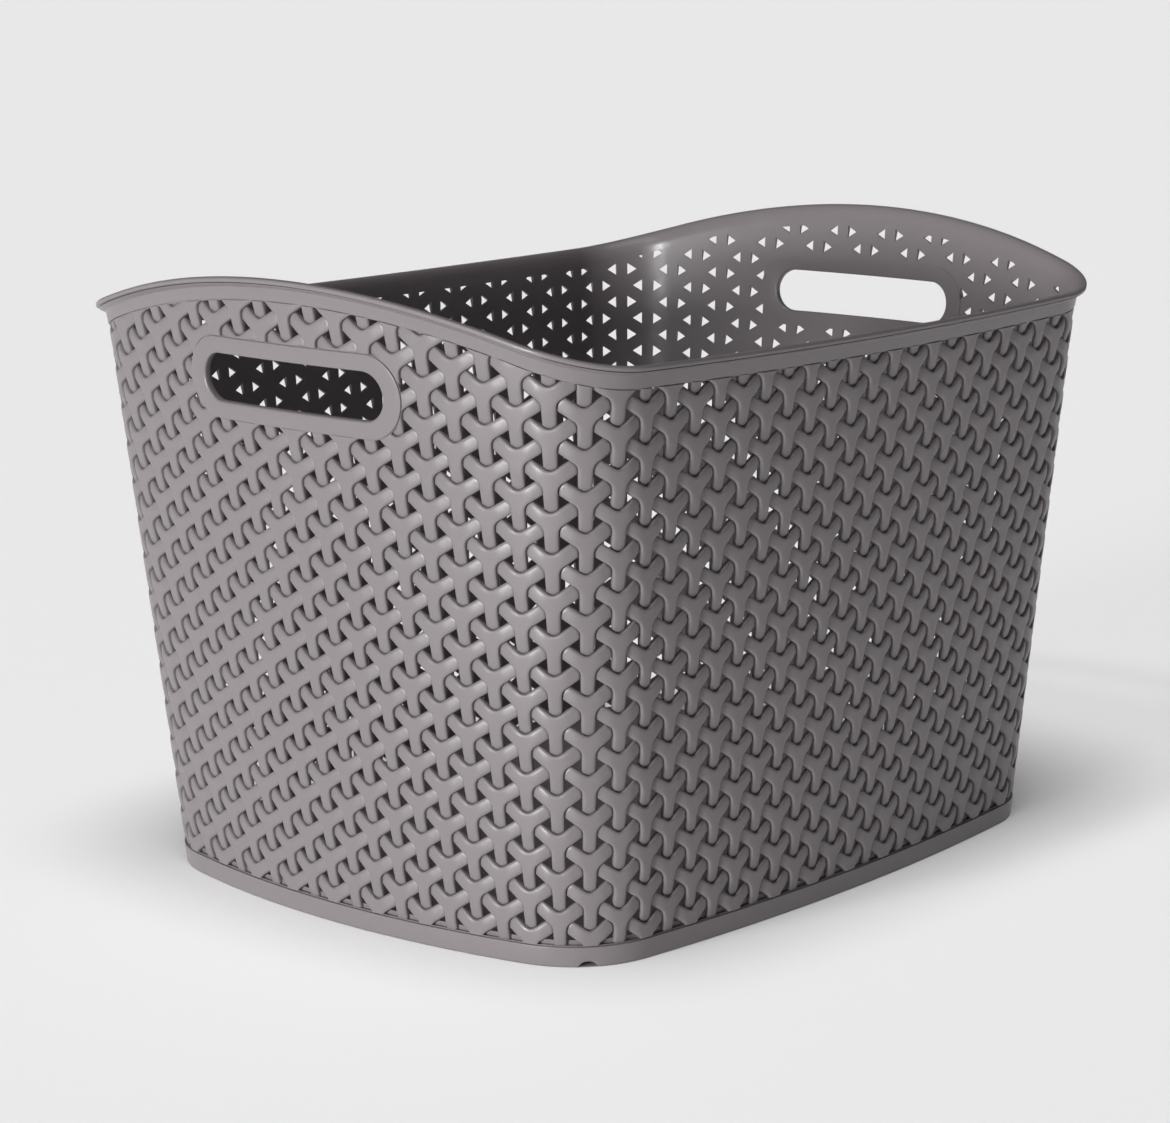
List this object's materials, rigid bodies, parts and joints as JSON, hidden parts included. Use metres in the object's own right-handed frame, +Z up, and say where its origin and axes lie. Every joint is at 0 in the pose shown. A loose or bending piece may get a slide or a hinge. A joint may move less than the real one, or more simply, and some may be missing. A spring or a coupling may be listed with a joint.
{
  "type": "storage bin",
  "caption": "Open-topped moulded plastic storage bin with a woven-look perforated wall, an arched rim with a rounded lip and a hand slot in each end wall.",
  "frame": {"origin": "centre of the footprint, on the surface that the bin stands on", "axes": "+Z up; X along the long plain walls, so the two hand slots face -X and +X; Y along the handle walls, front at -Y"},
  "size_m": [0.403, 0.3084, 0.2727],
  "materials": {
    "weave_plastic": "satin moulded polypropylene, taupe grey, in a woven relief",
    "smooth_plastic": "smooth satin moulded polypropylene, taupe grey",
    "floor_plastic": "fine matt moulded polypropylene, taupe grey"
  },
  "bodies": {
    "root": {"front_wall": "weave_plastic", "back_wall": "weave_plastic", "left_handle_wall": "weave_plastic", "right_handle_wall": "weave_plastic", "front_left_corner": "weave_plastic", "front_right_corner": "weave_plastic", "back_left_corner": "weave_plastic", "back_right_corner": "weave_plastic", "base_band": "smooth_plastic", "rim_band": "smooth_plastic", "rim_lip": "smooth_plastic", "left_handle_frame": "smooth_plastic", "right_handle_frame": "smooth_plastic", "floor_panel": "floor_plastic"}
  },
  "joints": []
}
